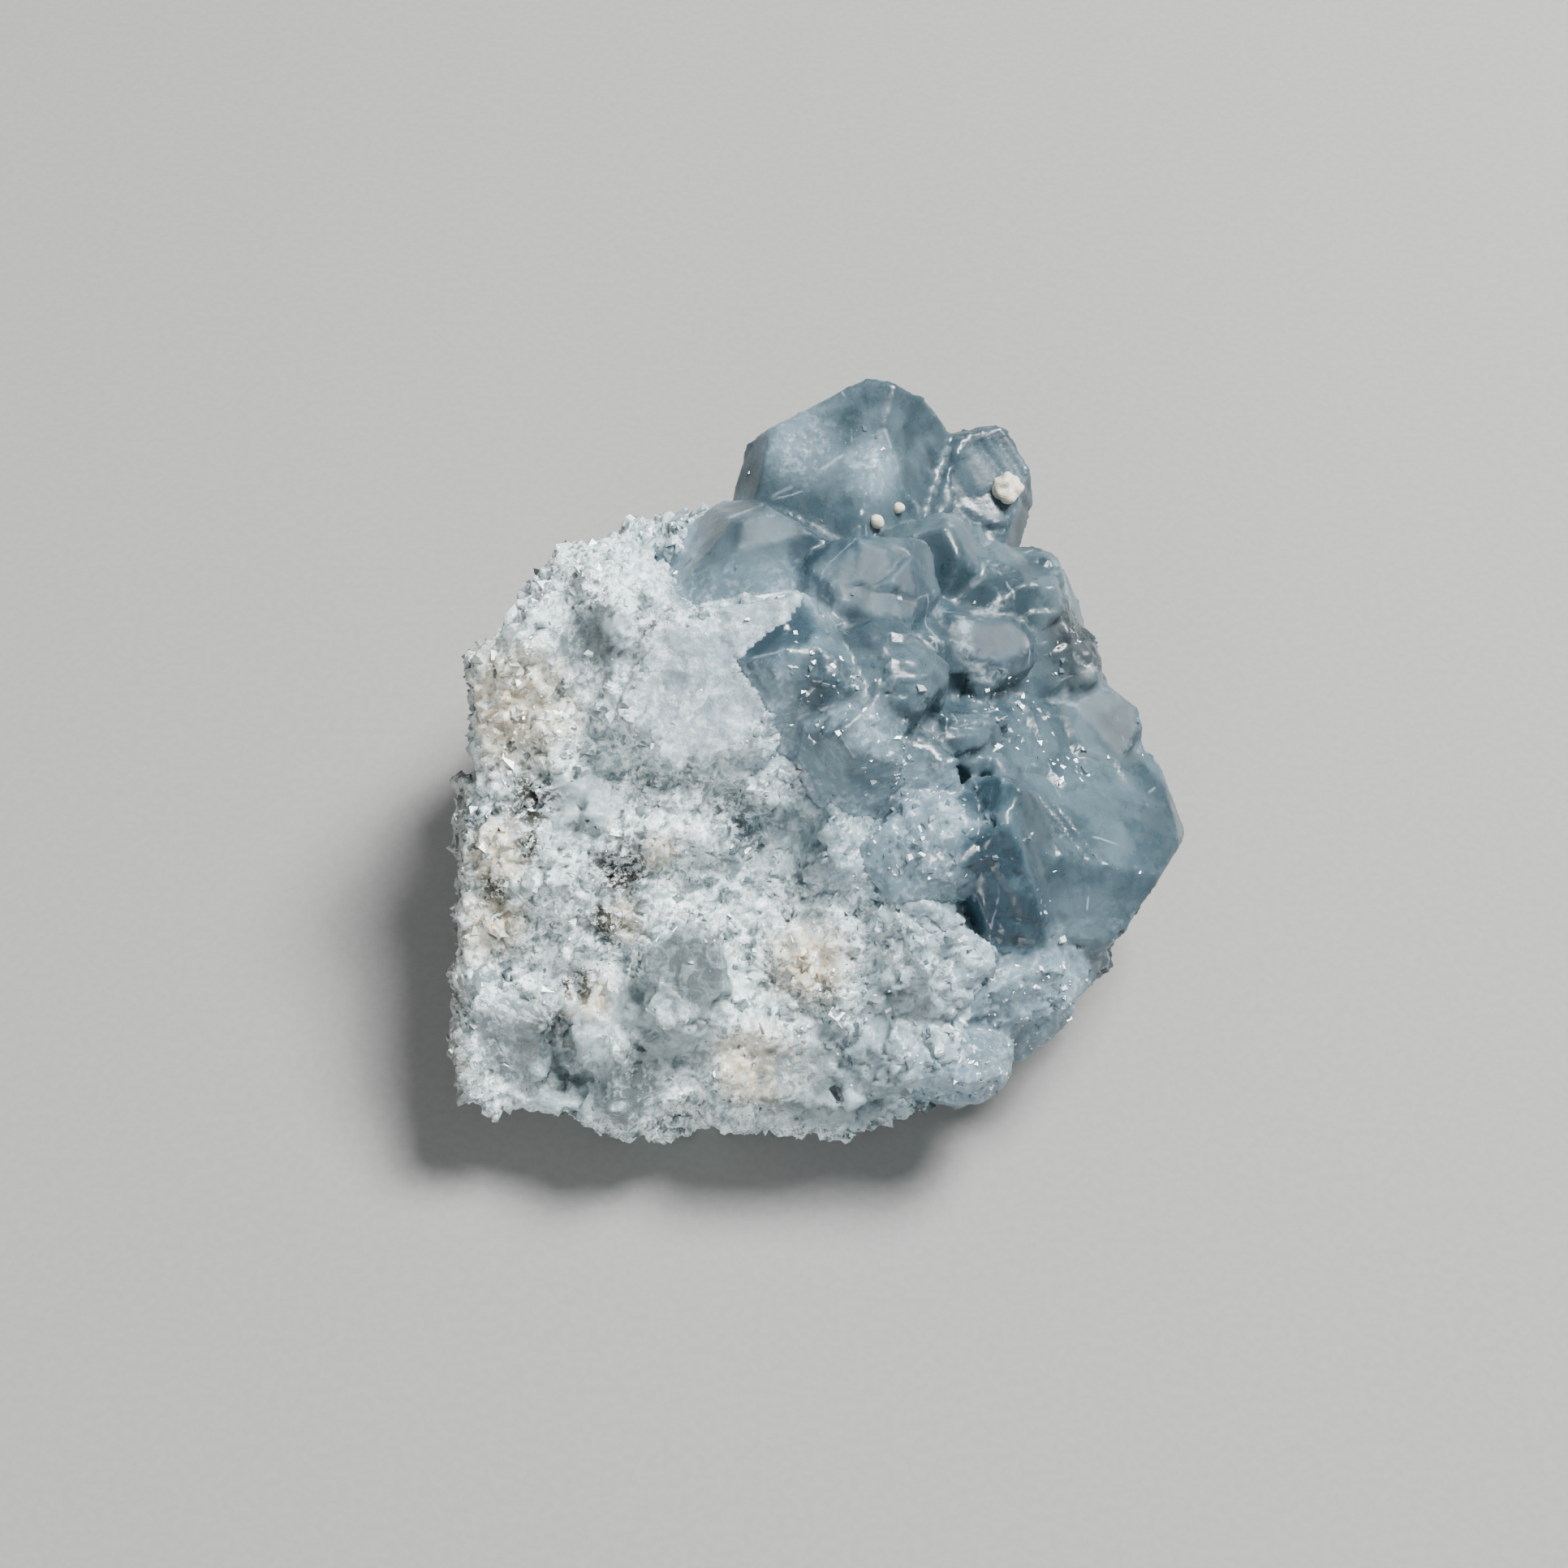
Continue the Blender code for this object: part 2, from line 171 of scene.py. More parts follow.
def even_copy(node, name, step, rounding):
    """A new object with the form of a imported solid, an even fine mesh and slightly rounded corners."""
    mesh = bmesh.new()
    mesh.from_mesh(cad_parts[node].data)
    bmesh.ops.remove_doubles(mesh, verts=mesh.verts, dist=WELD)
    made = object_from(mesh, name)
    remesh = made.modifiers.new("even mesh", "REMESH")
    remesh.mode = "VOXEL"
    remesh.voxel_size = step
    remesh.use_smooth_shade = True
    rounded = made.modifiers.new("rounded corners", "SMOOTH")
    rounded.factor = 0.5
    rounded.iterations = rounding
    bake_modifiers(made)
    return made


def distances_to(node, points):
    """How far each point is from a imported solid's surface."""
    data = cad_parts[node].data
    corners = [vert.co for vert in data.vertices]
    faces = [face.vertices for face in data.polygons]
    tree = BVHTree.FromPolygons(corners, faces)
    return np.array([tree.find_nearest(Vector(point))[3] for point in points])


def keep_values(mesh, name, values):
    """Keeps one number for each point of a mesh, for its material to read."""
    attribute = mesh.attributes.new(name, "FLOAT", "POINT")
    attribute.data.foreach_set("value", values)


def read_values(mesh, name):
    """The numbers that were kept under this name."""
    values = np.zeros(len(mesh.vertices))
    mesh.attributes[name].data.foreach_get("value", values)
    return values


def smooth_step(value, low, high):
    """0 below low, 1 above high, and a smooth change between."""
    share = np.clip((value - low) / (high - low), 0, 1)
    return share * share * (3 - 2 * share)


def read_points(mesh):
    """A mesh's points and their outward normals, as arrays."""
    count = len(mesh.vertices)
    points = np.zeros(count * 3)
    normals = np.zeros(count * 3)
    mesh.vertices.foreach_get("co", points)
    mesh.vertices.foreach_get("normal", normals)
    return points.reshape(-1, 3), normals.reshape(-1, 3)


def write_points(mesh, points):
    mesh.vertices.foreach_set("co", points.ravel())
    mesh.update()


def near_spots(points, spots, edge=0.25):
    """For each point, 1 inside any of the spots and 0 outside, fading over an edge."""
    inside = np.zeros(len(points))
    for spot in spots:
        away = np.linalg.norm(points - np.array(place(spot.centre)), axis=1) / (spot.radius * MM)
        inside = np.maximum(inside, 1 - smooth_step(away, 1 - edge, 1 + edge))
    return inside


def lump_height(point, lump):
    """How far a leaning grain face stands out at this point."""
    where = point / lump.size
    _, centres = noise.voronoi(where)
    chance = noise.cell_vector(centres[0] * lump.shuffle)
    lean = (chance - Vector((0.5, 0.5, 0.5))) * 2
    return lump.lean * lump.size * (where - centres[0]).dot(lean) + lump.rise * (2 * chance.z - 1)


def shape_wall(wall):
    """Breaks the wall's surface into leaning grains, and closes it round the crystals."""
    points, normals = read_points(wall.data)
    away = distances_to("crystals", points)
    touching = 1 - smooth_step(away, CONTACT_FULL, CONTACT_REACH)
    points += normals * (touching * WALL_GROWTH)[:, None]
    keep_values(wall.data, "near", 1 - smooth_step(away, 0, BLEND_REACH))
    freedom = smooth_step(points[:, 2], FLAT_BELOW, SHAPED_ABOVE) * (1 - CONTACT_CALM * touching)
    freedom *= 1 - SMOOTH_CALM * near_spots(points, SMOOTH_SPOTS)
    heights = np.zeros(len(points))
    for number, point in enumerate(points):
        if freedom[number] > 0:
            where = Vector(point)
            heights[number] = sum(lump_height(where, lump) for lump in WALL_LUMPS)
    write_points(wall.data, points + normals * (heights * freedom)[:, None])


def edge_sharpness(mesh, points, normals):
    """How far each point stands out from its neighbours, in metres: large on sharp outer edges."""
    count = len(mesh.edges)
    ends = np.zeros(count * 2, int)
    mesh.edges.foreach_get("vertices", ends)
    ends = ends.reshape(-1, 2)
    total = np.zeros_like(points)
    degree = np.zeros(len(points))
    for one, other in ((0, 1), (1, 0)):
        np.add.at(total, ends[:, one], points[ends[:, other]])
        np.add.at(degree, ends[:, one], 1)
    return ((points - total / degree[:, None]) * normals).sum(axis=1)


# Crystal faces: long waves, low steps, growth lines and the chips along worn edges.
WAVE_SIZE = 5.0 * MM
WAVE_RISE = 0.06 * MM
CHIP = Lump(1.1 * MM, 0.26, 0.05 * MM, 4.4)
STEP = Lump(2.6 * MM, 0.15, 0.07 * MM, 6.2)

# A point that stands out from its neighbours by so much is on an edge, and one that lies so much
# lower is in a seam. The edge or seam starts to show at a share of that.
EDGE_SHARPNESS = 0.025 * MM
SEAM_SHARPNESS = 0.020 * MM
SHARPNESS_START = 0.2
EDGE_CHIPPING = 0.5

# A share below this changes nothing that shows.
LEAST_SHARE = 0.01

# Growth lines repeat along a direction, at a spacing and depth in millimetres. They bend a little, and
# each one has a strength of its own.
LINE_BEND_SEED = 5
LINE_BEND_SIZE = 4 * MM
LINE_BEND = 0.8 * MM
LINE_WEAKEST = 0.4
LINE_VARIATION = 1.2
LINE_THINNESS = 3
Lines = namedtuple("Lines", "name centre radius along spacing depth")
LINED_SPOTS = (
    Lines("top neighbour", (12.5, 16.5, 20.0), 6.0, (0.80, 0.45, 0.35), 1.0, 0.09),
    Lines("right upper", (15.5, 10.5, 19.0), 4.5, (0.85, 0.20, -0.30), 1.3, 0.06),
    Lines("wedge", (12.6, -9.0, 18.0), 5.5, (0.85, 0.50, 0.00), 0.6, 0.10),
    Lines("front block", (13.5, -13.0, 13.0), 4.0, (0.20, 0.60, 0.75), 0.9, 0.08),
    Lines("great", (17.0, -5.0, 16.0), 4.0, (0.55, 0.25, 0.80), 1.6, 0.05),
)
BROKEN_SPOTS = (
    Spot("frosted block", (9.2, -8.5, 20.5), 4.6),
    Spot("front block", (14.5, -14.5, 12.0), 4.6),
    Spot("front foot", (10.5, -18.5, 10.0), 4.2),
    Spot("centre low", (5.0, -3.0, 24.5), 3.6),
    Spot("smoky", (18.5, 7.0, 17.5), 3.4),
    Spot("right rim", (19.0, -10.0, 10.0), 4.0),
)

# Faces that grew in low flat steps.
STEPPED_SPOTS = (
    Spot("centre", (4.5, 0.0, 25.0), 4.2),
    Spot("behind the wedge", (11.0, -1.0, 19.5), 4.6),
    Spot("great crystal's top", (16.5, -1.0, 16.5), 4.2),
    Spot("right upper", (14.5, 9.0, 19.0), 4.0),
    Spot("ridge right", (5.9, 6.4, 24.5), 2.6),
    Spot("top neighbour", (11.0, 15.5, 20.0), 3.6),
)


def line_depth(point, lines):
    """Growth lines, slightly curved and uneven."""
    bend = noise.noise_vector(point / LINE_BEND_SIZE) * LINE_BEND
    across = (point + bend).dot(Vector(lines.along)) / (lines.spacing * MM)
    strength = LINE_WEAKEST + LINE_VARIATION * noise.cell(Vector((math.floor(across), 0, 0)))
    return -lines.depth * MM * strength * abs(math.sin(math.pi * across)) ** LINE_THINNESS


def crystal_relief(where, chipping, stepping, lining):
    """How far a crystal's face stands out here, from the shares of chips, steps and each set of lines."""
    rise = WAVE_RISE * noise.noise(where / WAVE_SIZE)
    if chipping > LEAST_SHARE:
        rise += chipping * lump_height(where, CHIP)
    if stepping > LEAST_SHARE:
        rise += stepping * lump_height(where, STEP)
    for share, lines in zip(lining, LINED_SPOTS):
        if share > LEAST_SHARE:
            rise += share * line_depth(where, lines)
    return rise


def shape_crystals(crystals):
    """Wears the crystals' edges, gives their faces relief, and closes them on to the wall."""
    points, normals = read_points(crystals.data)
    sharpness = edge_sharpness(crystals.data, points, normals)
    worn = smooth_step(sharpness, SHARPNESS_START * EDGE_SHARPNESS, EDGE_SHARPNESS)
    seams = smooth_step(-sharpness, SHARPNESS_START * SEAM_SHARPNESS, SEAM_SHARPNESS)
    broken = near_spots(points, BROKEN_SPOTS, 0.35)
    chipping = np.maximum(EDGE_CHIPPING * worn, broken)
    stepping = near_spots(points, STEPPED_SPOTS, 0.2)
    lining = np.column_stack([near_spots(points, [lines], 0.35) for lines in LINED_SPOTS])
    shares = zip(chipping, stepping, lining)
    noise.seed_set(LINE_BEND_SEED)
    heights = np.array([crystal_relief(Vector(point), *share) for point, share in zip(points, shares)])
    away = distances_to("matrix", points)
    heights += CRYSTAL_GROWTH * (1 - smooth_step(away, CONTACT_FULL, CONTACT_REACH))
    write_points(crystals.data, points + normals * heights[:, None])
    keep_values(crystals.data, "rim", np.maximum(worn, 0.5 * broken))
    keep_values(crystals.data, "seam", seams)
    keep_values(crystals.data, "near", 1 - smooth_step(away, 0, BLEND_REACH))


# Sugar grains that lie on the wall, as uneven chips sunk partly in. They gather in patches, and thin out
# towards the crystals and where the wall's grains are clear.
SUGAR_SEED = 41
SUGAR_COUNT = 10000
SUGAR_TRIES = 4 * SUGAR_COUNT
SUGAR_SIZES = (0.24 * MM, 1.2 * MM)
SUGAR_SMALLNESS = 2.5
SUGAR_SINK = 0.38
SUGAR_PATCH = 3.5 * MM
SUGAR_CLEARING = 0.8
SUGAR_THINNING = 0.55
SUGAR_SMOOTHEST = 0.4
SUGAR_ROUND_SHARE = 0.15
SUGAR_CLEAVED_SHARE = 0.25

# More of them close the line along the crystals, where the wall is this near.
CONTACT_SUGAR = 1100
CONTACT_NEARNESS = 0.955
CONTACT_SMALLNESS = 2

# Half of a chip's length, breadth and thickness, as its least and greatest share of the chip's size.
CHIP_SPANS = ((0.35, 0.6), (0.25, 0.5), (0.15, 0.4))
CHIP_SKEW = 0.25
CHIP_UNEVENNESS = 0.30


def any_size(sizes, smallness, rng):
    """A size in this span: the greater the smallness, the rarer the large ones."""
    return sizes[0] + (sizes[1] - sizes[0]) * rng.random() ** smallness


def sunk(point, normal, depth):
    """A place this deep below a surface point."""
    return Vector(point) - Vector(normal) * depth


def any_turn(rng):
    """A turn that is different for each chip."""
    return Euler([rng.uniform(0, math.tau) for _ in range(3)]).to_matrix()


def plane_turn(rng):
    """A turn that lays a flake's flat side nearly along the crystals' shared cleavage plane."""
    scatter = Vector([rng.gauss(0, CLEAVAGE_SCATTER) for _ in range(3)])
    square_to = (Vector(CLEAVAGE) + scatter).normalized()
    spin = Euler((0, 0, rng.uniform(0, math.tau))).to_matrix()
    return square_to.to_track_quat("Z", "Y").to_matrix() @ spin


def sugar_turn(rng):
    """Some of the wall's grains lie along the cleavage plane, where they sparkle together."""
    return plane_turn(rng) if rng.random() < SUGAR_CLEAVED_SHARE else any_turn(rng)


def rhomb(size, turn, rng):
    """The eight corners of a small cleavage chip, with an uneven outline and two flat sides."""
    half = Vector([size * rng.uniform(*span) for span in CHIP_SPANS])
    corners = []
    for x in (-1, 1):
        for y in (-1, 1):
            for z in (-1, 1):
                shrink = 1 - CHIP_UNEVENNESS * rng.random() * 2
                corner = Vector(((x + CHIP_SKEW * y) * half.x * shrink, y * half.y * shrink, z * half.z))
                corners.append(turn @ corner)
    return corners


RHOMB_FACES = ((0, 1, 3, 2), (4, 6, 7, 5), (0, 4, 5, 1), (2, 3, 7, 6), (0, 2, 6, 4), (1, 5, 7, 3))


def joined_rhombs(name, seats, rng, round_share, turn):
    """One mesh of many rhombs, one for each seat: a centre and a size. A share of them look rounded."""
    corners = []
    faces = []
    for centre, size in seats:
        first = len(corners)
        corners += [centre + corner for corner in rhomb(size, turn(rng), rng)]
        faces += [[first + corner for corner in face] for face in RHOMB_FACES]
    data = bpy.data.meshes.new(name)
    data.from_pydata(corners, [], faces)
    rounded = [rng.random() < round_share for _ in seats]
    data.polygons.foreach_set("use_smooth", np.repeat(rounded, len(RHOMB_FACES)))
    made = bpy.data.objects.new(name, data)
    bpy.context.scene.collection.objects.link(made)
    return made


def sugar_seats(wall, rng):
    """Where sugar grains lie: on random points of the wall, away from its smooth faces and its rest."""
    points, normals = read_points(wall.data)
    smooth = near_spots(points, SMOOTH_SPOTS)
    clear = near_spots(points, CLEAR_SPOTS)
    near = read_values(wall.data, "near")
    seats = []
    for number in rng.choices(range(len(points)), k=SUGAR_TRIES):
        point = Vector(points[number])
        size = any_size(SUGAR_SIZES, SUGAR_SMALLNESS, rng)
        sugary = noise.noise(point / SUGAR_PATCH) + 0.5 > rng.random() + SUGAR_CLEARING * clear[number]
        kept = rng.random() > SUGAR_THINNING * near[number]
        if sugary and kept and smooth[number] < SUGAR_SMOOTHEST and point.z > size:
            seats.append((sunk(point, normals[number], size * SUGAR_SINK), size))
    return seats[:SUGAR_COUNT] + contact_seats(points, normals, near - smooth, rng)


def contact_seats(points, normals, near, rng):
    """Where sugar grains close the line between the wall and the crystals."""
    touching = np.flatnonzero((near > CONTACT_NEARNESS) & (points[:, 2] > SHAPED_ABOVE))
    seats = []
    for number in rng.choices(list(touching), k=CONTACT_SUGAR):
        size = any_size(SUGAR_SIZES, CONTACT_SMALLNESS, rng)
        seats.append((sunk(points[number], normals[number], size * SUGAR_SINK), size))
    return seats


# Glints: tiny bright cleavage flakes, densest on the broken crystals.
GLINT_SEED = 43
GLINT_TRIES = 14000
GLINT_SIZES = (0.16 * MM, 0.60 * MM)
GLINT_SMALLNESS = 2
GLINT_SINK = 0.20
GLINT_SHARE = 0.6
GLINT_ROUND_SHARE = 0.0

# The flakes' flat sides lie square to this, give or take some scatter. It is halfway between the ways to
# the key light and to the camera, so that they sparkle together in the picture.
CLEAVAGE = (0.23, -0.20, 0.95)
CLEAVAGE_SCATTER = 0.16
GLINT_SPOTS = (
    Spot("edge of the centre face", (0.9, -1.3, 27.1), 1.3),
    Spot("below the centre crystals", (4.2, -2.1, 25.1), 1.1),
    Spot("left edge of the frosted block", (5.9, -6.4, 21.4), 1.3),
    Spot("wedge tip", (11.0, -5.2, 21.2), 1.0),
    Spot("upper wedge edge", (13.8, -8.6, 20.3), 1.0),
    Spot("lower wedge edge", (15.2, -11.5, 17.0), 1.0),
    Spot("behind the wedge", (13.0, 1.1, 18.1), 1.5),
    Spot("smoky crystal's front", (16.3, 4.9, 18.1), 0.9),
    Spot("smoky crystal's side", (17.6, 6.7, 18.0), 0.9),
    Spot("top crystal", (4.8, 17.3, 23.2), 1.3),
    Spot("great crystal's top", (16.9, -1.6, 16.5), 1.7),
    Spot("top edge of the frosted block", (7.4, -6.6, 22.0), 2.6),
    Spot("frosted block", (8.2, -9.2, 20.0), 3.2),
    Spot("front block", (14.5, -15.3, 11.4), 3.2),
    Spot("front foot", (10.8, -19.8, 11.0), 2.8),
    Spot("below the centre", (3.0, -3.4, 24.4), 2.2),
    Spot("right shoulder", (13.5, 0.5, 17.5), 3.0),
)
GLINTS_ELSEWHERE = 0.012

# On the wall they gather in patches.
WALL_GLINT_SPOTS = (
    Spot("right of the block", (0.6, -5.4, 21.4), 3.0),
    Spot("below the block", (-1.8, -8.6, 18.6), 2.4),
    Spot("middle", (-4.6, -12.4, 16.4), 2.6),
    Spot("left of the middle", (-10.4, -12.6, 13.8), 2.6),
    Spot("low middle", (2.6, -16.8, 12.6), 3.0),
    Spot("front", (6.4, -17.6, 11.4), 2.6),
    Spot("right front", (5.2, -12.6, 16.4), 2.6),
)
WALL_GLINT_TRIES = 9000
WALL_GLINTS_ELSEWHERE = 0.06


def glint_seats(target, spots, elsewhere, tries, rng):
    """Where flakes lie on the wall or the crystals: densest in the spots."""
    points, normals = read_points(target.data)
    dense = np.maximum(GLINT_SHARE * near_spots(points, spots, 0.5), elsewhere)
    dense[points[:, 2] < SHAPED_ABOVE] = 0
    seats = []
    for number in rng.choices(range(len(points)), k=tries):
        if rng.random() < dense[number]:
            size = any_size(GLINT_SIZES, GLINT_SMALLNESS, rng)
            seats.append((sunk(points[number], normals[number], size * GLINT_SINK), size))
    return seats


class Shading:
    """One material, with short ways to add nodes to it."""

    def __init__(self, name):
        self.material = bpy.data.materials.new(name)
        self.material.use_nodes = True
        self.tree = self.material.node_tree
        self.surface = self.tree.nodes["Principled BSDF"]
        self.output = self.tree.nodes["Material Output"]
        self.here = self.node("ShaderNodeTexCoord").outputs["Object"]

    def node(self, kind, inputs=None, **settings):
        """A new node with its settings and inputs."""
        added = self.tree.nodes.new(kind)
        for name, value in settings.items():
            setattr(added, name, value)
        for name, value in (inputs or {}).items():
            self.feed(added.inputs[name], value)
        return added

    def feed(self, socket, value):
        """Sets a socket to a number or a colour, or links it to another node."""
        if isinstance(value, bpy.types.NodeSocket):
            self.tree.links.new(value, socket)
        elif isinstance(value, tuple) and len(value) == 3 and len(socket.default_value) == 4:
            socket.default_value = (*value, 1)
        else:
            socket.default_value = value

    def set(self, **values):
        """Feeds the shader's sockets, whose names are given with _ for a space."""
        for name, value in values.items():
            self.feed(self.surface.inputs[name.replace("_", " ")], value)

    def noise(self, size, detail=4.0, roughness=0.55, distortion=0.0):
        inputs = {"Vector": self.here, "Scale": 1 / size, "Detail": detail}
        inputs.update({"Roughness": roughness, "Distortion": distortion})
        return self.node("ShaderNodeTexNoise", inputs).outputs["Fac"]

    def cells(self, size, output="Color", where=None, feature="F1"):
        inputs = {"Vector": where or self.here, "Scale": 1 / size}
        return self.node("ShaderNodeTexVoronoi", inputs, feature=feature).outputs[output]

    def calculate(self, operation, *values):
        """A calculation on numbers."""
        inputs = dict(enumerate(values))
        return self.node("ShaderNodeMath", inputs, operation=operation).outputs[0]

    def times(self, one, other):
        """The product of two numbers."""
        return self.calculate("MULTIPLY", one, other)

    def larger(self, one, other):
        """The larger of two numbers."""
        return self.calculate("MAXIMUM", one, other)

    def vector(self, operation, output="Vector", **inputs):
        """A calculation on vectors, whose inputs are a, b and scale."""
        found = self.node("ShaderNodeVectorMath", operation=operation)
        for name, value in inputs.items():
            self.feed(found.inputs[{"a": 0, "b": 1, "scale": 3}[name]], value)
        return found.outputs[output]

    def ramp(self, value, low, high, to_low=0.0, to_high=1.0):
        """Maps low to high smoothly onto another range."""
        inputs = {0: value, 1: low, 2: high, 3: to_low, 4: to_high}
        return self.node("ShaderNodeMapRange", inputs, interpolation_type="SMOOTHSTEP").outputs[0]

    def blend(self, share, one, other, mode="MIX"):
        """Two colours mixed."""
        mixed = self.node("ShaderNodeMix", {0: share, 6: one, 7: other}, data_type="RGBA", blend_type=mode)
        return mixed.outputs[2]

    def blend_normals(self, share, one, other):
        """Two normals mixed."""
        return self.node("ShaderNodeMix", {0: share, 4: one, 5: other}, data_type="VECTOR").outputs[1]

    def stirred(self, size, reach):
        """The place on the object, moved about by noise, so that patches get ragged edges."""
        inputs = {"Vector": self.here, "Scale": 1 / size, "Detail": 5.0, "Roughness": 0.65}
        colour = self.node("ShaderNodeTexNoise", inputs).outputs["Color"]
        centred = self.vector("SUBTRACT", a=colour, b=(0.5, 0.5, 0.5))
        moved = self.vector("SCALE", a=centred, scale=2 * reach)
        return self.vector("ADD", a=self.here, b=moved)

    def spots(self, spots, where, edge=0.5):
        """1 inside any of the spots, 0 outside."""
        total = None
        for spot in spots:
            away = self.vector("DISTANCE", "Value", a=where, b=tuple(place(spot.centre)))
            reach = spot.radius * MM
            inside = self.ramp(away, reach * (1 - edge), reach * (1 + edge), 1.0, 0.0)
            total = inside if total is None else self.larger(total, inside)
        return total

    def across(self, where):
        """How far across, along X, a place is."""
        return self.node("ShaderNodeSeparateXYZ", {0: where}).outputs["X"]

    def facets(self, size, lean, where=None):
        """A normal that leans another way on each small grain face."""
        chance = self.vector("SUBTRACT", a=self.cells(size, where=where), b=(0.5, 0.5, 0.5))
        leaning = self.vector("SCALE", a=chance, scale=lean)
        flat = self.node("ShaderNodeNewGeometry").outputs["Normal"]
        return self.vector("NORMALIZE", a=self.vector("ADD", a=flat, b=leaning))

    def bump(self, height, distance, normal=None):
        inputs = {"Height": height, "Distance": distance, "Strength": 1.0}
        if normal is not None:
            inputs["Normal"] = normal
        return self.node("ShaderNodeBump", inputs).outputs["Normal"]


# Colours of massive celestite.
WHITE = (0.88, 0.97, 0.97)
PALE_GREY = (0.42, 0.54, 0.57)
GREY = (0.12, 0.16, 0.17)
CREAM = (0.68, 0.60, 0.43)
DARK = (0.035, 0.035, 0.025)
BLOCK_BLUE = (0.25, 0.33, 0.37)
CONTACT_BLUE = (0.20, 0.30, 0.35)
SKIN = (0.17, 0.17, 0.15)

# How strongly light bends in celestite.
CELESTITE_IOR = 1.62

# The size of the wall's clear grains.
CLEAR_GRAIN = 2.2 * MM

# The edges of the wall's patches are this ragged: the size of their lobes, and how far these reach.
WALL_PATCH = 1.6 * MM
WALL_PATCH_RAGGEDNESS = 1.1 * MM

# The wall turns bluer between these distances across, and its outer skin is dull beyond this one.
BLUE_FROM = -1.0
BLUE_TO = 9.0
SKIN_FROM = -17.9
SKIN_TO = -19.2


def attribute(shading, name):
    """The numbers that a mesh keeps under this name."""
    return shading.node("ShaderNodeAttribute", attribute_name=name).outputs["Fac"]


def reach_x(millimetres):
    """A distance across, given as places are, in the frame."""
    return place((millimetres, 0, 0)).x


def sugariness(shading, ragged, stirred):
    """Where the wall is sugary: between the clear grains and in patches, but little in its clear places."""
    edge = shading.cells(CLEAR_GRAIN, "Distance", stirred, "DISTANCE_TO_EDGE")
    border = shading.ramp(edge, 0.02, 0.12, 0.9, 0.0)
    patches = shading.ramp(shading.noise(2.4 * MM, 6, 0.7), 0.38, 0.52)
    kept = shading.ramp(shading.spots(CLEAR_SPOTS, ragged), 0.0, 1.0, 1.0, 0.15)
    return shading.times(shading.larger(border, patches), kept)


def grain_colour(shading, stirred, sugary):
    """Clear grey grains, hazy in places, with white sugar between them."""
    cells = shading.cells(CLEAR_GRAIN, where=stirred)
    chance = shading.vector("DOT_PRODUCT", "Value", a=cells, b=(1.0, 0.0, 0.0))
    speckle = shading.ramp(shading.noise(0.45 * MM, 6, 0.8), 0.44, 0.53)
    colour = shading.blend(chance, GREY, PALE_GREY)
    haze = shading.ramp(shading.noise(1.0 * MM, 6, 0.75), 0.40, 0.58, 0.0, 0.7)
    colour = shading.blend(haze, colour, PALE_GREY)
    return shading.blend(shading.times(sugary, speckle), colour, WHITE)


def patched(shading, ragged, colour):
    """This colour with the wall's blue, cream and dark patches, and its dull outer skin."""
    sideways = shading.ramp(shading.across(ragged), reach_x(BLUE_FROM), reach_x(BLUE_TO))
    patchy = shading.ramp(shading.noise(0.9 * MM, 6, 0.7), 0.38, 0.62, 0.15, 0.8)
    colour = shading.blend(shading.times(sideways, patchy), colour, CONTACT_BLUE)
    cream = shading.spots(CREAM_SPOTS, ragged, 0.6)
    creamy = shading.ramp(shading.noise(0.5 * MM, 5, 0.7), 0.38, 0.54, 0.0, 0.9)
    colour = shading.blend(shading.times(cream, creamy), colour, CREAM)
    dark = shading.spots(DARK_SPOTS, ragged, 0.6)
    specks = shading.ramp(shading.noise(0.5 * MM, 3, 0.7), 0.45, 0.54)
    colour = shading.blend(shading.times(dark, specks), colour, DARK)
    skin = shading.ramp(shading.across(ragged), reach_x(SKIN_FROM), reach_x(SKIN_TO), 0.0, 0.75)
    return shading.blend(skin, colour, SKIN)


def massive_celestite(shading, ragged):
    """The colour of massive celestite and how sugary it is."""
    stirred = shading.stirred(1.0 * MM, 0.4 * MM)
    sugary = sugariness(shading, ragged, stirred)
    colour = grain_colour(shading, stirred, sugary)
    return patched(shading, ragged, colour), sugary


def wall_colour(shading, ragged, smooth, colour):
    """The wall's mineral, with clearer cleavage faces and a blue block."""
    near = attribute(shading, "near")
    patchy = shading.ramp(shading.noise(1.5 * MM, 5, 0.65), 0.35, 0.62, 0.3, 0.8)
    colour = shading.blend(shading.times(near, patchy), colour, CONTACT_BLUE)
    streaks = shading.ramp(shading.noise(1.3 * MM, 7, 0.7, 1.5), 0.40, 0.56, 0.20, 1.0)
    clearer = shading.ramp(streaks, 0.0, 1.0, 0.3, 1.0)
    colour = shading.blend(shading.times(smooth, clearer), colour, GREY)
    blue = shading.spots(BLUE_SPOTS, ragged, 0.8)
    return shading.blend(shading.times(blue, streaks), colour, BLOCK_BLUE)


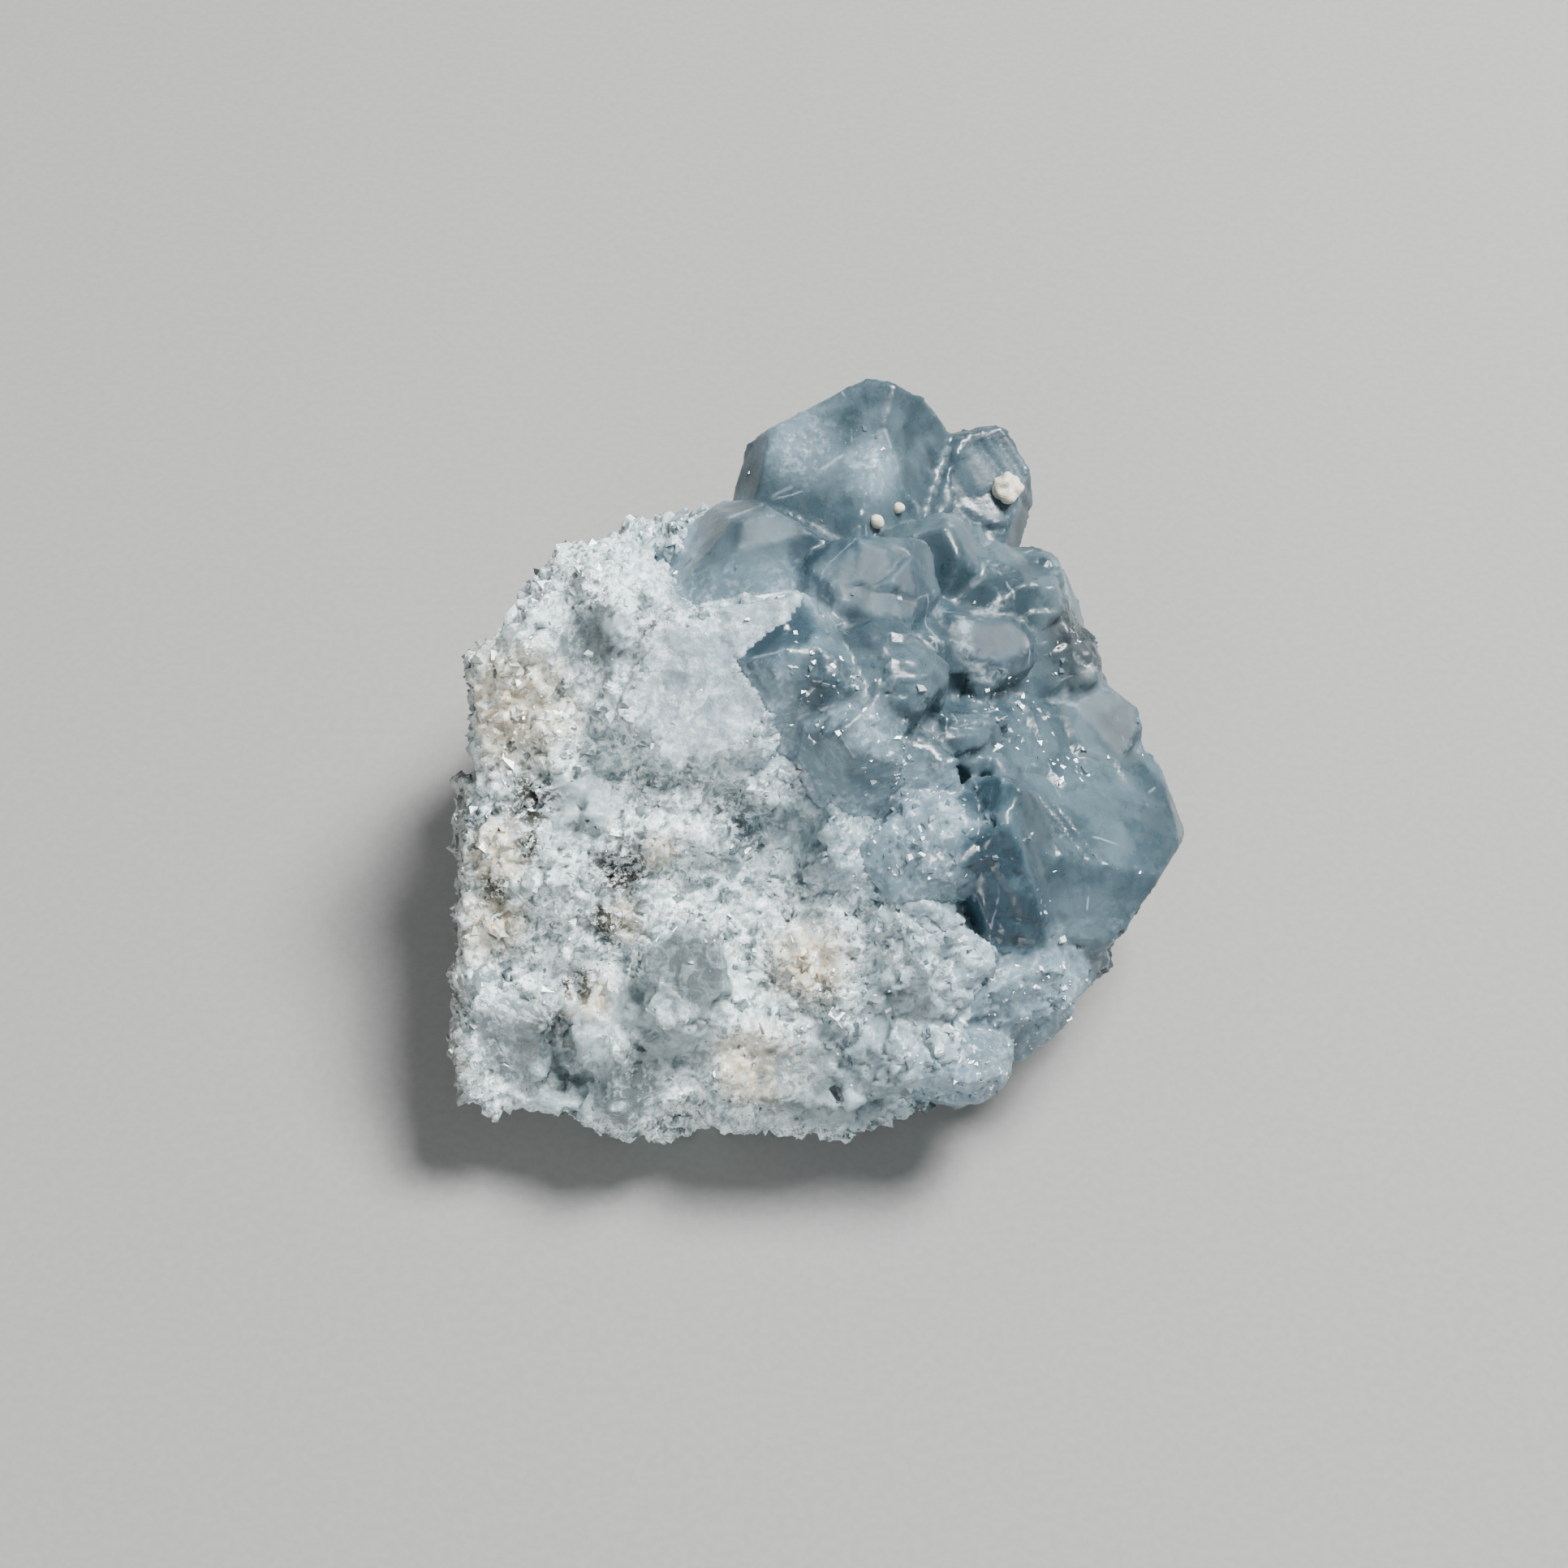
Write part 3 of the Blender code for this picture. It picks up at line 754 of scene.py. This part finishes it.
def wall_material():
    """Sugary massive celestite with clear grains."""
    shading = Shading("massive celestite")
    ragged = shading.stirred(WALL_PATCH, WALL_PATCH_RAGGEDNESS)
    smooth = shading.spots(GREY_SPOTS, ragged, 0.35)
    colour, sugary = massive_celestite(shading, ragged)
    facets = shading.facets(0.42 * MM, 0.9)
    rough_normal = shading.bump(shading.noise(0.5 * MM, 5, 0.65), 0.07 * MM, facets)
    smooth_normal = shading.bump(shading.noise(0.8 * MM, 7, 0.7, 1.0), 0.10 * MM)
    flat = shading.larger(smooth, shading.spots(BLUE_SPOTS, ragged, 0.35))
    level = shading.times(sugary, shading.ramp(flat, 0.0, 1.0, 1.0, 0.1))
    shading.set(
        Base_Color=wall_colour(shading, ragged, smooth, colour),
        Roughness=shading.ramp(shading.noise(0.4 * MM, 3), 0.35, 0.65, 0.10, 0.38),
        Normal=shading.blend_normals(level, smooth_normal, rough_normal),
        IOR=CELESTITE_IOR,
        Transmission_Weight=shading.ramp(sugary, 0.0, 0.6, 0.30, 0.0),
        Subsurface_Weight=0.3,
        Subsurface_Radius=(1.0, 1.1, 1.2),
        Subsurface_Scale=0.2 * MM,
    )
    return shading.material


def sugar_material():
    """Single grains of the wall's mineral, a few of them whiter or clearer than what they lie in."""
    shading = Shading("sugar grains")
    ragged = shading.stirred(WALL_PATCH, WALL_PATCH_RAGGEDNESS)
    chance = shading.node("ShaderNodeNewGeometry").outputs["Random Per Island"]
    colour, _ = massive_celestite(shading, ragged)
    colour = shading.blend(shading.ramp(chance, 0.30, 0.0, 0.0, 0.9), colour, WHITE)
    colour = shading.blend(shading.ramp(chance, 0.70, 1.0, 0.0, 0.7), colour, GREY)
    shading.set(
        Base_Color=colour,
        Roughness=shading.ramp(chance, 0.0, 1.0, 0.06, 0.30),
        Normal=shading.bump(shading.noise(0.4 * MM, 4, 0.6), 0.03 * MM),
        IOR=CELESTITE_IOR,
        Transmission_Weight=shading.ramp(chance, 0.30, 0.90, 0.15, 0.70),
    )
    return shading.material


# Where crystals look deep and clear, partly painted shadow in the ridge's crevice arcs; and where they are
# frosted white, partly painted light on the top crystal.
DEEP_AND_SHADED_SPOTS = (
    Spot("upper wedge", (11.4, -6.9, 20.8), 1.5),
    Spot("middle wedge", (11.9, -10.2, 19.4), 2.0),
    Spot("lower wedge, left", (11.6, -12.2, 16.8), 2.1),
    Spot("lower wedge, right", (13.4, -12.4, 16.2), 2.1),
    Spot("centre face", (-0.5, 0.9, 26.1), 2.6),
    # Painted shadow: the dark arcs in the crevices along the ridge.
    Spot("ridge arc left", (1.6, 8.5, 24.6), 1.6),
    Spot("ridge arc", (4.2, 8.0, 24.6), 1.5),
    Spot("ridge arc right", (7.4, 5.0, 24.0), 1.9),
    Spot("below the window", (9.0, 5.9, 19.7), 1.8),
    Spot("window", (12.4, 3.9, 21.4), 1.5),
)
SMOKY_SPOTS = (Spot("smoky", (17.8, 6.8, 17.6), 3.0),)
WHITE_AND_LIT_SPOTS = (
    Spot("frosted block", (7.6, -8.6, 20.4), 3.4),
    Spot("front block", (14.5, -15.3, 11.4), 4.0),
    Spot("front foot", (10.4, -19.5, 11.0), 4.2),
    Spot("low centre", (4.2, -4.6, 23.0), 2.0),
    Spot("edge of the right upper", (17.2, 10.4, 18.4), 1.3),
    # Painted light as well as whitish patches: these lift the top crystal's shade.
    Spot("top crystal's left", (1.4, 18.0, 22.0), 2.3),
    Spot("top crystal's front", (5.4, 16.2, 22.4), 1.7),
    Spot("back of the top crystal", (4.6, 21.4, 22.0), 1.4),
)

# Faces with a satin gloss, which face halfway between the key light and the camera and would mirror it.
SATIN_SPOTS = (
    Spot("ridge left", (-0.9, 8.7, 25.4), 2.6),
    Spot("ridge right", (5.9, 5.4, 25.3), 2.8),
    Spot("window", (12.1, 3.8, 21.3), 2.6),
    Spot("great shoulder", (19.7, 2.5, 15.5), 3.4),
)

# A broken white rim round the left of the small upright crystal.
RING_CENTRE = (12.8, 4.1, 21.6)
RING_RADIUS = 2.4
RING_WIDTH = 0.8
RING_END = 14.0

CRYSTAL_BLUE = (0.062, 0.110, 0.136)
CRYSTAL_PALE = (0.112, 0.170, 0.202)
CRYSTAL_WHITE_AND_LIT = (0.32, 0.45, 0.53)
CRYSTAL_DEEP_AND_SHADE = (0.068, 0.140, 0.190)
SMOKE = (0.10, 0.12, 0.12)
FROST = (0.58, 0.71, 0.77)
GLINT = (0.80, 0.88, 0.91)
ABSORPTION = (0.30, 0.58, 0.70)
ABSORPTION_PER_METRE = 110.0

# Healed fractures show as thin white lines where flat cracks meet the surface. Each set of cracks is
# square to a direction, and so many millimetres apart.
Cracks = namedtuple("Cracks", "square_to apart")
CRACK_SETS = (
    Cracks((0.90, 0.30, -0.30), 6.1),
    Cracks((-0.30, 0.70, 0.65), 7.7),
    Cracks((0.20, -0.80, 0.55), 9.3),
)
CRACK_WIDTH = 0.10 * MM


def fractures(shading):
    """Thin, nearly straight, broken white lines across the crystals."""
    where = shading.stirred(3.0 * MM, 0.3 * MM)
    total = None
    for cracks in CRACK_SETS:
        way = tuple(Vector(cracks.square_to).normalized())
        across = shading.vector("DOT_PRODUCT", "Value", a=where, b=way)
        off_crack = shading.calculate("PINGPONG", across, cracks.apart / 2 * MM)
        line = shading.ramp(off_crack, 0.0, CRACK_WIDTH, 0.5, 0.0)
        total = line if total is None else shading.larger(total, line)
    stretches = shading.ramp(shading.noise(2.6 * MM, 3, 0.6), 0.52, 0.62)
    return shading.times(total, stretches)


def ring(shading, ragged):
    """The white rim round part of one crystal's end."""
    away = shading.vector("DISTANCE", "Value", a=ragged, b=tuple(place(RING_CENTRE)))
    off_ring = shading.calculate("ABSOLUTE", shading.calculate("SUBTRACT", away, RING_RADIUS * MM))
    band = shading.ramp(off_ring, 0.2 * RING_WIDTH * MM, RING_WIDTH * MM, 0.7, 0.0)
    left = shading.ramp(shading.across(ragged), reach_x(RING_END - 1.5), reach_x(RING_END), 1.0, 0.0)
    patchy = shading.ramp(shading.noise(0.9 * MM, 5, 0.7), 0.42, 0.60, 0.1, 1.0)
    return shading.times(shading.times(band, left), patchy)


def whiteness(shading, ragged, deep_and_shaded):
    """Where the crystals are whitish: in places of their own, with painted light on the top crystal, and
    close to the wall, but not in the deep, shaded places.
    """
    near = shading.ramp(attribute(shading, "near"), 0.3, 1.0, 0.0, 0.9)
    white = shading.larger(shading.spots(WHITE_AND_LIT_SPOTS, ragged, 0.6), near)
    return shading.times(white, shading.ramp(deep_and_shaded, 0.0, 1.0, 1.0, 0.0))


def frosting(shading, ragged, white):
    """Where the crystals are frosted: on broken stretches of edges, whitish places, cracks and seams; the
    seams' pale lines are partly painted light against the shade in the creases.
    """
    crumb = shading.ramp(shading.noise(0.5 * MM, 4, 0.7), 0.46, 0.62)
    stretches = shading.ramp(shading.noise(2.4 * MM, 5, 0.7), 0.50, 0.62)
    rim = shading.times(shading.times(attribute(shading, "rim"), stretches), 0.6)
    speckled = shading.larger(rim, shading.times(white, 0.55))
    frost = shading.larger(shading.times(speckled, crumb), ring(shading, ragged))
    frost = shading.larger(frost, fractures(shading))
    # Seams: pale lines in the creases, partly painted light that lifts their shade.
    seams = shading.ramp(shading.noise(1.6 * MM, 5, 0.7), 0.44, 0.64, 0.0, 0.42)
    return shading.larger(frost, shading.times(attribute(shading, "seam"), seams))


def crystal_colour(shading, veil, white, deep_and_shaded, smoky, frost):
    """The crystals' blue, from the shares of each look that it has."""
    mottle = shading.ramp(shading.noise(0.9 * MM, 6, 0.7), 0.36, 0.64, -0.22, 0.22)
    colour = shading.blend(shading.calculate("ADD", veil, mottle), CRYSTAL_BLUE, CRYSTAL_PALE)
    # Whitish places, with painted light on the top crystal.
    colour = shading.blend(shading.times(white, 0.8), colour, CRYSTAL_WHITE_AND_LIT)
    # Deep blue for clear places, and painted shade on the crevice arcs.
    colour = shading.blend(shading.times(deep_and_shaded, 0.85), colour, CRYSTAL_DEEP_AND_SHADE)
    colour = shading.blend(shading.times(smoky, 0.6), colour, SMOKE)
    return shading.blend(shading.times(frost, 0.75), colour, FROST)


def clearness(shading, veil, deep_and_shaded, smoky, frost):
    """How see-through the crystals are: less so where veiled or frosted, more so in the deep, shaded places
    and where smoky.
    """
    clear = shading.ramp(veil, 0.0, 1.0, 0.55, 0.30)
    clear = shading.larger(clear, shading.times(shading.larger(deep_and_shaded, smoky), 0.7))
    return shading.times(clear, shading.ramp(frost, 0.0, 1.0, 1.0, 0.4))


def crystal_roughness(shading):
    """An uneven gloss, and a satin one on some faces."""
    gloss = shading.ramp(shading.noise(1.8 * MM, 4, 0.6), 0.35, 0.65, 0.20, 0.40)
    satin = shading.spots(SATIN_SPOTS, shading.here, 0.2)
    return shading.larger(gloss, shading.times(satin, 0.62))


def crystal_normal(shading, ragged, frost):
    """Clean faces with faint waves, and grainy ones where frosted."""
    clean = shading.bump(shading.noise(1.4 * MM, 4, 0.55), 0.08 * MM)
    broken = shading.facets(0.5 * MM, 0.45, ragged)
    return shading.blend_normals(shading.ramp(frost, 0.05, 0.6), clean, broken)


def absorb(shading):
    """Fills a material's inside with absorption."""
    inside = shading.node("ShaderNodeVolumeAbsorption")
    inside.inputs["Color"].default_value = (*ABSORPTION, 1)
    inside.inputs["Density"].default_value = ABSORPTION_PER_METRE
    shading.tree.links.new(inside.outputs[0], shading.output.inputs["Volume"])


def crystal_material():
    """Milky blue celestite: deep and clear in places, with painted shade in crevice arcs, veiled in others,
    and frosted along its edges.
    """
    shading = Shading("blue celestite")
    ragged = shading.stirred(1.4 * MM, 0.7 * MM)
    veil = shading.ramp(shading.noise(4.5 * MM, 4, 0.55, 0.6), 0.32, 0.70)
    # Deep clear places, and painted shadow in the ridge's crevice arcs.
    deep_and_shaded = shading.spots(DEEP_AND_SHADED_SPOTS, ragged, 0.35)
    smoky = shading.spots(SMOKY_SPOTS, ragged, 0.6)
    # Whitish places, partly painted light on the top crystal.
    white = whiteness(shading, ragged, deep_and_shaded)
    frost = frosting(shading, ragged, white)
    shading.set(
        Base_Color=crystal_colour(shading, veil, white, deep_and_shaded, smoky, frost),
        Roughness=crystal_roughness(shading),
        Transmission_Weight=clearness(shading, veil, deep_and_shaded, smoky, frost),
        IOR=CELESTITE_IOR,
        Specular_IOR_Level=0.2,
        Normal=crystal_normal(shading, ragged, frost),
        Subsurface_Weight=0.6,
        Subsurface_Radius=(0.8, 1.0, 1.2),
        Subsurface_Scale=0.6 * MM,
    )
    absorb(shading)
    return shading.material


def glint_material():
    """Small clean cleavage flakes, brighter than what they lie on."""
    shading = Shading("glints")
    chance = shading.node("ShaderNodeNewGeometry").outputs["Random Per Island"]
    shading.set(
        Base_Color=shading.blend(shading.ramp(chance, 0.5, 1.0), CRYSTAL_PALE, GLINT),
        Roughness=shading.ramp(chance, 0.0, 1.0, 0.04, 0.12),
        Normal=shading.bump(shading.noise(0.2 * MM, 2), 0.01 * MM),
        IOR=CELESTITE_IOR,
        Transmission_Weight=0.2,
    )
    return shading.material


def wear(target, material):
    """Gives an object its only material."""
    target.data.materials.clear()
    target.data.materials.append(material)


def build_wall():
    wall = even_copy("matrix", "granular_wall", WALL_MESH_STEP, WALL_ROUNDING)
    shape_wall(wall)
    wear(wall, wall_material())
    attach(wall, "root")
    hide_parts("matrix")
    return wall


def build_sugar(wall):
    rng = random.Random(SUGAR_SEED)
    sugar = joined_rhombs("sugar_grains", sugar_seats(wall, rng), rng, SUGAR_ROUND_SHARE, sugar_turn)
    wear(sugar, sugar_material())
    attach(sugar, "root")


def build_glints(wall, crystals):
    """Flakes on both materials, as one piece each."""
    rng = random.Random(GLINT_SEED)
    material = glint_material()
    on_crystals = glint_seats(crystals, GLINT_SPOTS, GLINTS_ELSEWHERE, GLINT_TRIES, rng)
    on_wall = glint_seats(wall, WALL_GLINT_SPOTS, WALL_GLINTS_ELSEWHERE, WALL_GLINT_TRIES, rng)
    kinds = (
        ("cleavage_flakes", on_crystals, "blue_celestite"),
        ("wall_flakes", on_wall, "massive_celestite"),
    )
    for name, seats, slot in kinds:
        glints = joined_rhombs(name, seats, rng, GLINT_ROUND_SHARE, plane_turn)
        wear(glints, material)
        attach(glints, "root")


# Nodules of cream clay on the crystals, radius in millimetres.
NODULES = (
    Spot("top neighbour's side", (14.0, 17.9, 18.7), 0.95),
    Spot("foot of the top crystal", (5.7, 13.4, 20.8), 0.42),
    Spot("beside it", (7.1, 15.0, 20.3), 0.34),
)
NODULE_PALE = (0.80, 0.77, 0.68)
NODULE_LUMP = 0.6 * MM
NODULE_UNEVENNESS = 0.35


def nodule_material():
    """Dry cream clay."""
    shading = Shading("cream nodules")
    grain = shading.noise(0.25 * MM, 5, 0.7)
    shading.set(
        Base_Color=shading.blend(shading.ramp(grain, 0.35, 0.65), CREAM, NODULE_PALE),
        Roughness=0.75,
        Normal=shading.bump(grain, 0.06 * MM),
    )
    return shading.material


def build_nodules():
    mesh = bmesh.new()
    for nodule in NODULES:
        radius = nodule.radius * MM
        found = bmesh.ops.create_icosphere(mesh, subdivisions=4, radius=radius)
        for vert in found["verts"]:
            where = place(nodule.centre) + vert.co
            swelling = 1 + NODULE_UNEVENNESS * noise.noise(where / NODULE_LUMP)
            vert.co = place(nodule.centre) + vert.co * swelling
    nodules = object_from(mesh, "cream_nodules")
    wear(nodules, nodule_material())
    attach(nodules, "root")


def build_crystals():
    crystals = even_copy("crystals", "crystal_cluster", CRYSTAL_MESH_STEP, CRYSTAL_ROUNDING)
    shape_crystals(crystals)
    wear(crystals, crystal_material())
    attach(crystals, "root")
    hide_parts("crystals")
    return crystals


# The camera looks down on the specimen from the front, as close as a phone is held. It aims at this
# place, in millimetres, and its lens and sensor are in millimetres too.
CAMERA_TARGET = (0, 0, 12)
CAMERA_ELEVATION = math.radians(55)
CAMERA_DISTANCE = 170 * MM
CAMERA_LENS = 64
CAMERA_SENSOR = 36


def aim(azimuth, elevation):
    """The direction to something at these angles, in radians. Azimuth 0 is the camera's side."""
    flat = math.cos(elevation)
    return Vector((math.sin(azimuth) * flat, -math.cos(azimuth) * flat, math.sin(elevation)))


def build_camera():
    data = bpy.data.cameras.new("camera")
    data.lens = CAMERA_LENS
    data.sensor_width = CAMERA_SENSOR
    data.clip_start = 1 * MM
    camera = bpy.data.objects.new("camera", data)
    camera.location = place(CAMERA_TARGET) + aim(0, CAMERA_ELEVATION) * CAMERA_DISTANCE
    camera.rotation_euler = (math.pi / 2 - CAMERA_ELEVATION, 0, 0)
    bpy.context.scene.collection.objects.link(camera)
    bpy.context.scene.camera = camera


Lamp = namedtuple("Lamp", "name azimuth elevation distance size power")

# Angles in degrees, distance and size in metres, power in watts.
LAMPS = (
    Lamp("key", 118, 62, 0.45, 0.20, 6.0),
    Lamp("key core", 118, 62, 0.44, 0.03, 0.4),
    Lamp("front fill", -20, 14, 0.60, 0.30, 2.0),
)
SKY = (0.82, 0.85, 0.88)
SKY_STRENGTH = 0.42


def build_lights():
    target = place(CAMERA_TARGET)
    for lamp in LAMPS:
        data = bpy.data.lights.new(lamp.name, "AREA")
        data.shape = "DISK"
        data.size = lamp.size
        data.energy = lamp.power
        light = bpy.data.objects.new(lamp.name, data)
        way = aim(math.radians(lamp.azimuth), math.radians(lamp.elevation))
        light.location = target + way * lamp.distance
        light.rotation_euler = way.to_track_quat("Z", "Y").to_euler()
        bpy.context.scene.collection.objects.link(light)
    world = bpy.data.worlds.new("studio")
    world.use_nodes = True
    sky = world.node_tree.nodes["Background"]
    sky.inputs["Color"].default_value = (*SKY, 1)
    sky.inputs["Strength"].default_value = SKY_STRENGTH
    bpy.context.scene.world = world


# In metres.
FLOOR_SIZE = 3.0
FLOOR_GREY = (0.28, 0.28, 0.27)


def build_floor():
    """A plain pale floor, with the faint grain of matt card."""
    mesh = bmesh.new()
    bmesh.ops.create_grid(mesh, x_segments=1, y_segments=1, size=FLOOR_SIZE / 2)
    floor = object_from(mesh, "floor")
    shading = Shading("floor card")
    shade = shading.ramp(shading.noise(0.5 * MM, 2), 0.3, 0.7, 0.96, 1.04)
    shading.set(Base_Color=shading.blend(1.0, FLOOR_GREY, shade, "MULTIPLY"), Roughness=0.9)
    wear(floor, shading.material)


wall = build_wall()
build_sugar(wall)
crystals = build_crystals()
build_glints(wall, crystals)
build_nodules()
build_floor()
build_lights()
build_camera()
